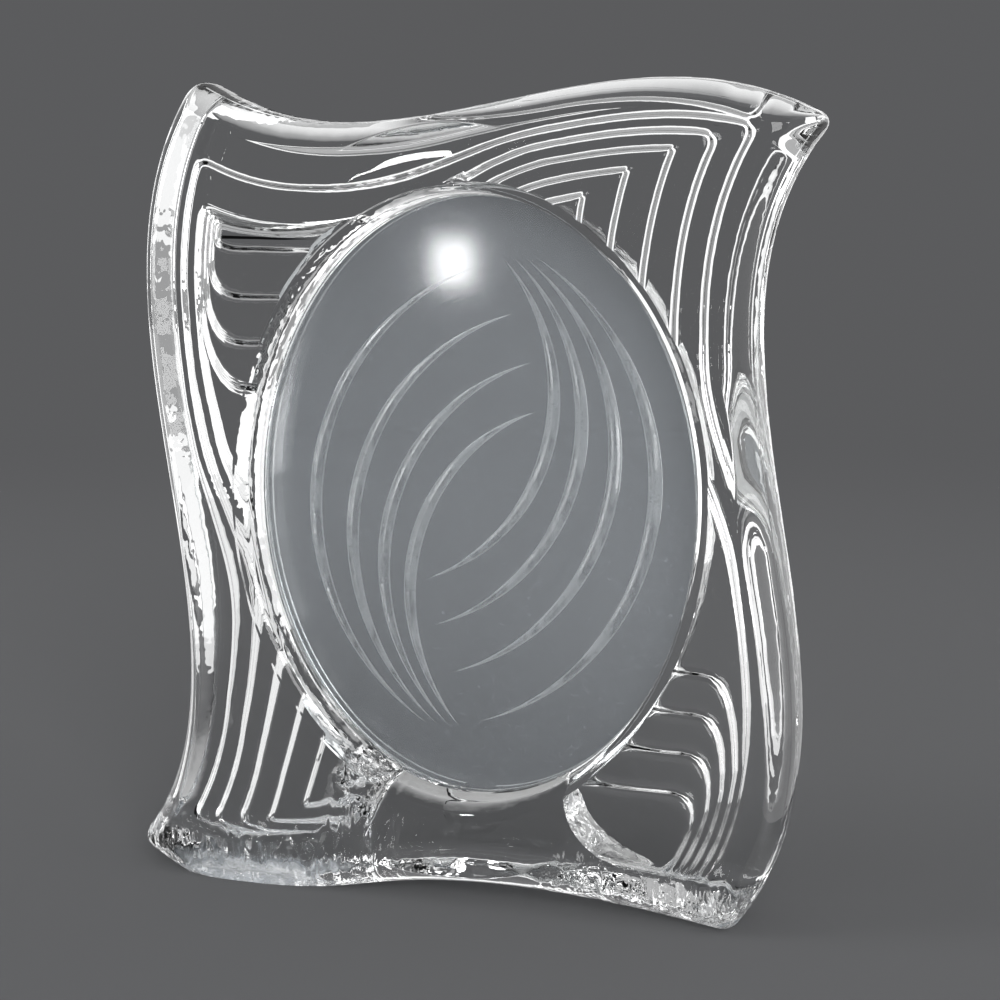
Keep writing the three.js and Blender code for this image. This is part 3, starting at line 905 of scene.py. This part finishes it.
def relief():
    """All the relief in the back, clear of the collar and of the base."""
    size = settings().relief
    hollows = []
    for number in range(1, size.stairs + 1):
        hollows += pressed("stair", stair_run, number, size.stair_step, size.stair_slope)
    for number in range(1, size.chevrons + 1):
        hollows += pressed("chevron", chevron_run, number, size.chevron_step, size.chevron_slope)
    pattern = joined(shelves(), "UNION", hollows)
    return joined(pattern, "DIFFERENCE", [collar(), base()])


def window():
    """The hollow of the window: roll of the front, throat, wall closing in to the ledge, and rebate."""
    size = settings().window
    half_x, half_z = rebate_half()
    ledge = SHEET_LOW[1] - size.fit
    profile = [(size.roll_width, FRONT - OVERCUT)]
    for across, down in quarter(size.roll_width, size.roll_depth, ROUND_POINTS):
        profile.append((size.roll_width - across, FRONT - SLIP + down))
    profile.append((-size.wall_draft, ledge))
    rings = [at_depth(oval(size.throat_x + out, size.throat_z + out), y) for out, y in profile]
    for y in (ledge, BACK + OVERCUT):
        rings.append(at_depth(oval(half_x, half_z), y))
    return loft("window", rings)


def finger_scoop():
    """A round hollow in the foot of the collar."""
    size = settings().window
    bm = bmesh.new()
    bmesh.ops.create_uvsphere(bm, u_segments=64, v_segments=32, radius=size.scoop_radius)
    low = MIDDLE_Z - rebate_half()[1] - size.collar_wall / 2
    place = Vector((0, BACK + size.scoop_radius - size.scoop_depth, low))
    bmesh.ops.translate(bm, verts=bm.verts, vec=place)
    return finished("finger scoop", bm)


def ground():
    """What is ground off under the feet."""
    bm = bmesh.new()
    bmesh.ops.create_cube(bm, size=CUTTER)
    bmesh.ops.translate(bm, verts=bm.verts, vec=(0, 0, BODY_LOW[2] - CUTTER / 2))
    return finished("ground", bm)


class CRYSTALFRAME_OT_casting(Operator):
    """Model the crystal casting with its pressed relief and its window"""

    bl_idname = "crystalframe.casting"
    bl_label = "Casting"

    def execute(self, context):
        body = joined(casting_slab(), "DIFFERENCE", [relief(), window(), finger_scoop(), ground()])
        polished(body, sharp_degrees=30)
        dressed(body, "crystal_body", "frame", crystal_finish())
        return {"FINISHED"}


def disc(name, low, high):
    """An oval plate with softened edges."""
    arris = settings().pack.arris
    edge = quarter(arris, arris, SECTION_POINTS // 2)
    rings = []
    for across, down in edge:
        near = arris - across
        rings.append((oval(PACK_X - near, PACK_Z - near), down))
    return between_faces(name, rings, low[1], high[1])


class CRYSTALFRAME_OT_cover_sheet(Operator):
    """Model the clear sheet in front of the photograph"""

    bl_idname = "crystalframe.cover_sheet"
    bl_label = "Cover sheet"

    def execute(self, context):
        sheet = polished(disc("cover_sheet_look", SHEET_LOW, SHEET_HIGH), sharp_degrees=40)
        dressed(sheet, "cover_sheet", "sheet", sheet_finish())
        return {"FINISHED"}


def crescent(number):
    """A cut along an arc, pointed at both ends, and its half turn."""
    size = settings().pack
    tip = Vector((size.tip_x + size.tip_curl * number**2, size.tip_z - size.tip_spacing * number))
    end = Vector((size.gather_x + size.gather_spacing * number, size.gather_z))
    chord = end - tip
    bulge = size.sweep + size.sweep_spacing * number
    radius = (chord.length_squared / 4 + bulge * bulge) / (2 * bulge)
    across = Vector((chord.y, -chord.x)).normalized()
    centre = (tip + end) / 2 + across * (bulge - radius)
    half_angle = math.asin(chord.length / 2 / radius)
    if bulge > radius:
        half_angle = math.pi - half_angle
    rings = []
    for i in range(GROOVE_POINTS + 1):
        part = i / GROOVE_POINTS
        turn = half_angle * (2 * part - 1)
        out = across * math.cos(turn) + Vector((-across.y, across.x)) * math.sin(turn)
        swell = math.sin(math.pi * part) + TIP_BLUNTNESS
        section = []
        for j in range(SECTION_POINTS + 1):
            side = 2 * j / SECTION_POINTS - 1
            spot = centre + out * (radius + side * swell * size.crescent_width / 2)
            depth = size.crescent_depth * swell * (1 - abs(side) ** CUT_HOLLOW)
            section.append((spot, PANEL_HIGH[1] + SLIP - depth))
        lid = [(section[-1][0], PANEL_HIGH[1] + OVERCUT), (section[0][0], PANEL_HIGH[1] + OVERCUT)]
        rings.append(section + lid)
    name = "crescent"
    here = [[Vector((spot.x, y, spot.y + MIDDLE_Z)) for spot, y in ring] for ring in rings]
    there = [[Vector((-spot.x, y, MIDDLE_Z - spot.y)) for spot, y in ring] for ring in rings]
    return [loft(name, here), loft(name, there)]


class CRYSTALFRAME_OT_back_panel(Operator):
    """Model the panel behind the photograph with its two fans of cut crescents"""

    bl_idname = "crystalframe.back_panel"
    bl_label = "Back panel"

    def execute(self, context):
        cutters = []
        for number in range(settings().pack.crescents):
            cutters += crescent(number)
        panel = joined(disc("back_panel_look", PANEL_LOW, PANEL_HIGH), "DIFFERENCE", cutters)
        polished(panel, sharp_degrees=20)
        dressed(panel, "back_panel", "panel", panel_finish())
        return {"FINISHED"}


class CRYSTALFRAME_OT_retaining_ring(Operator):
    """Model the split ring that holds the photo pack"""

    bl_idname = "crystalframe.retaining_ring"
    bl_label = "Retaining ring"

    def execute(self, context):
        size = settings().pack
        half = size.ring_width / 2
        thick = (RING_HIGH[1] - RING_LOW[1]) / 2
        middle = (RING_HIGH[1] + RING_LOW[1]) / 2
        opening = size.ring_split / 2 / PACK_X
        rings = []
        for i in range(OVAL_POINTS + 1):
            turn = opening - math.pi / 2 + (2 * math.pi - 2 * opening) * i / OVAL_POINTS
            out = Vector((math.cos(turn), math.sin(turn)))
            centre = Vector((out.x * (PACK_X - half), out.y * (PACK_Z - half)))
            section = []
            for j in range(2 * SECTION_POINTS):
                side = math.pi * j / SECTION_POINTS
                flat = Vector((math.cos(side), math.sin(side)))
                corner = abs(flat.x) ** RING_SQUARENESS + abs(flat.y) ** RING_SQUARENESS
                flat /= corner ** (1 / RING_SQUARENESS)
                spot = centre + out * (half * flat.x)
                section.append(Vector((spot.x, middle + thick * flat.y, spot.y + MIDDLE_Z)))
            rings.append(section)
        ring = polished(loft("retaining_ring_look", rings), sharp_degrees=50)
        dressed(ring, "retaining_ring", "ring", ring_finish())
        return {"FINISHED"}


def lamp(name, place, target, width, height, power, lights_floor=True, spread=180):
    """A soft lamp aimed at a point, with a spread in degrees, which may leave the floor as it is."""
    light = bpy.data.lights.new(name, "AREA")
    light.shape = "RECTANGLE"
    light.size = width
    light.size_y = height
    light.energy = power
    light.spread = math.radians(spread)
    made = bpy.data.objects.new(name, light)
    made.location = place
    made.rotation_euler = (Vector(target) - Vector(place)).to_track_quat("-Z", "Y").to_euler()
    made.visible_camera = False
    made.visible_diffuse = lights_floor
    bpy.context.collection.objects.link(made)


def card(name, near, far, height, power):
    """A bright card that stands on the floor beside the frame and shows in the glass alone."""
    middle = Vector((near[0] + far[0], near[1] + far[1], height)) / 2
    run = Vector((far[0] - near[0], far[1] - near[1], 0))
    across = Vector((run.y, -run.x, 0))
    if across.dot(middle) > 0:
        across.negate()
    lamp(name, middle, middle + across, run.length, height, power, lights_floor=False)


def flat_card(name, place, width, height, power, spread):
    """A bright card that lies behind the frame, faces up and shows in the glass alone."""
    above = Vector(place) + Vector((0, 0, 1))
    lamp(name, place, above, width, height, power, lights_floor=False, spread=spread)


def floor_finish(grey):
    """A plain floor that fades into the background."""
    finish = Finish(bpy.data.materials.new("studio floor"))
    place = finish.place()
    reach = finish.node("ShaderNodeVectorMath", {"operation": "LENGTH"}, {0: place}, "Value")
    paper = finish.node("ShaderNodeBsdfDiffuse", {}, {"Color": (*grey, 1), "Roughness": 1.0}, "BSDF")
    away = finish.node("ShaderNodeEmission", {}, {"Color": (*grey, 1)}, "Emission")
    return finish.surface(finish.mixed(finish.ramp(reach, *FLOOR_FADE), paper, away))


def studio_floor(look):
    """A round floor under the feet."""
    bm = bmesh.new()
    bmesh.ops.create_circle(bm, cap_ends=True, radius=6, segments=96)
    bmesh.ops.translate(bm, verts=bm.verts, vec=(0, 0, -FLOOR_DROP))
    floor = finished("studio_floor", bm)
    floor.data.materials.append(floor_finish(look.backdrop))


def studio_world(look):
    """Daylight for all that scatters it, and the grey of the backdrop in clear and glossy faces."""
    world = bpy.data.worlds.new("studio")
    bpy.context.scene.world = world
    finish = Finish(world)
    rays = "ShaderNodeLightPath"
    seen = finish.node(rays, {}, {}, "Is Camera Ray") + finish.node(rays, {}, {}, "Is Transmission Ray")
    seen = seen + finish.node(rays, {}, {}, "Is Glossy Ray")
    scattered = finish.held(finish.node(rays, {}, {}, "Diffuse Depth"))
    shown = finish.held(seen) * (1 - scattered)
    white = (look.daylight,) * 3
    colours = {"Factor": shown, "A": (*white, 1), "B": (*look.backdrop, 1)}
    colour = finish.node("ShaderNodeMix", {"data_type": "RGBA"}, colours, "Result")
    light = finish.node("ShaderNodeBackground", {}, {"Color": colour}, "Background")
    finish.node("ShaderNodeOutputWorld", {}, {"Surface": light})


def studio_lamps(aim):
    """Lamps above and in front, and bright cards round the frame that its risers bend into view."""
    lamp("overhead lamp", (0, 0.6, 0.9), (0, 0.6, 0), width=2.4, height=1.8, power=5)
    lamp("high strip", (-0.3, 1.25, 0.68), aim, width=2.4, height=0.24, power=1.9, lights_floor=False)
    card("left strip", (-0.51, 0.36), (-0.59, 0.73), height=0.55, power=0.7)
    card("left card", (-0.42, -0.35), (-0.5, 0.35), height=0.5, power=0.3)
    card("right strip", (0.17, 0.45), (0.05, 0.75), height=0.55, power=0.62)
    card("right card", (0.42, -0.25), (0.18, 0.44), height=0.5, power=0.3)
    card("low left card", (-0.16, -0.1), (-0.25, 0.2), height=0.16, power=0.13)
    card("low right card", (0.17, -0.05), (0.09, 0.28), height=0.16, power=0.11)
    flat_card("floor card", (-0.08, 0.23, -FLOOR_DROP / 2), width=0.5, height=0.52, power=0.28, spread=130)
    flat_card("ledge card", (-0.14, 0.29, 0.075), width=0.46, height=0.34, power=0.24, spread=150)
    lamp("left front lamp", (-1.1, -0.55, 0.5), aim, width=0.6, height=0.8, power=6)
    lamp("right front lamp", (0.55, -1.0, 0.45), aim, width=0.5, height=0.6, power=5)
    lamp("small lamp", (-0.435, -1.13, 0.163), aim, width=0.034, height=0.04, power=0.1)


def studio_camera(look, aim):
    """A camera to the right of the frame and above it."""
    ahead = Vector((-math.sin(look.turn), math.cos(look.turn), 0)) * math.cos(look.tilt)
    ahead.z = -math.sin(look.tilt)
    camera = bpy.data.cameras.new("camera")
    camera.lens = look.lens
    camera.shift_x = look.shift_x
    camera.shift_y = look.shift_y
    camera.clip_start = 0.01
    stand = bpy.data.objects.new("camera", camera)
    stand.location = aim - ahead * look.distance
    stand.rotation_euler = ahead.to_track_quat("-Z", "Y").to_euler()
    bpy.context.collection.objects.link(stand)
    bpy.context.scene.camera = stand


class CRYSTALFRAME_OT_studio(Operator):
    """Set up the floor, the light and the camera"""

    bl_idname = "crystalframe.studio"
    bl_label = "Studio"

    def execute(self, context):
        look = settings().studio
        aim = Vector((0, FRONT, MIDDLE_Z))
        studio_floor(look)
        studio_world(look)
        studio_lamps(aim)
        studio_camera(look, aim)
        context.scene.view_settings.view_transform = "Standard"
        return {"FINISHED"}


class CrystalFrame(PropertyGroup):
    """Everything that can be set."""

    outline: PointerProperty(type=OutlineSizes, name="Outline", description="Sizes of the outline")
    relief: PointerProperty(type=ReliefSizes, name="Relief", description="Sizes of the relief")
    base: PointerProperty(type=BaseSizes, name="Base", description="Sizes of the base")
    window: PointerProperty(type=WindowSizes, name="Window", description="Sizes of the window")
    pack: PointerProperty(type=PackSizes, name="Photo pack", description="Sizes of the photo pack")
    finish: PointerProperty(type=FinishLook, name="Finish", description="Colours of the materials")
    studio: PointerProperty(type=StudioLook, name="Studio", description="Camera, backdrop and daylight")


OPERATORS = (
    CRYSTALFRAME_OT_casting,
    CRYSTALFRAME_OT_cover_sheet,
    CRYSTALFRAME_OT_back_panel,
    CRYSTALFRAME_OT_retaining_ring,
    CRYSTALFRAME_OT_studio,
)


class CRYSTALFRAME_PT_sidebar(Panel):
    """Lists the pieces of the frame"""

    bl_label = "Crystal frame"
    bl_space_type = "VIEW_3D"
    bl_region_type = "UI"
    bl_category = "Crystal frame"

    def draw(self, context):
        for operator in OPERATORS:
            self.layout.operator(operator.bl_idname)


CLASSES = (
    OutlineSizes,
    ReliefSizes,
    BaseSizes,
    WindowSizes,
    PackSizes,
    FinishLook,
    StudioLook,
    CrystalFrame,
    *OPERATORS,
    CRYSTALFRAME_PT_sidebar,
)


def register():
    """Adds the sizes, the looks, the operators and the panel."""
    for item in CLASSES:
        bpy.utils.register_class(item)
    bpy.types.Scene.crystal_frame = PointerProperty(type=CrystalFrame)


def unregister():
    """Takes them away again."""
    del bpy.types.Scene.crystal_frame
    for item in reversed(CLASSES):
        bpy.utils.unregister_class(item)


def main():
    """Adds the sizes, models every piece and sets up the studio."""
    register()
    bpy.ops.crystalframe.casting()
    bpy.ops.crystalframe.cover_sheet()
    bpy.ops.crystalframe.back_panel()
    bpy.ops.crystalframe.retaining_ring()
    bpy.ops.crystalframe.studio()


if __name__ == "__main__":
    main()
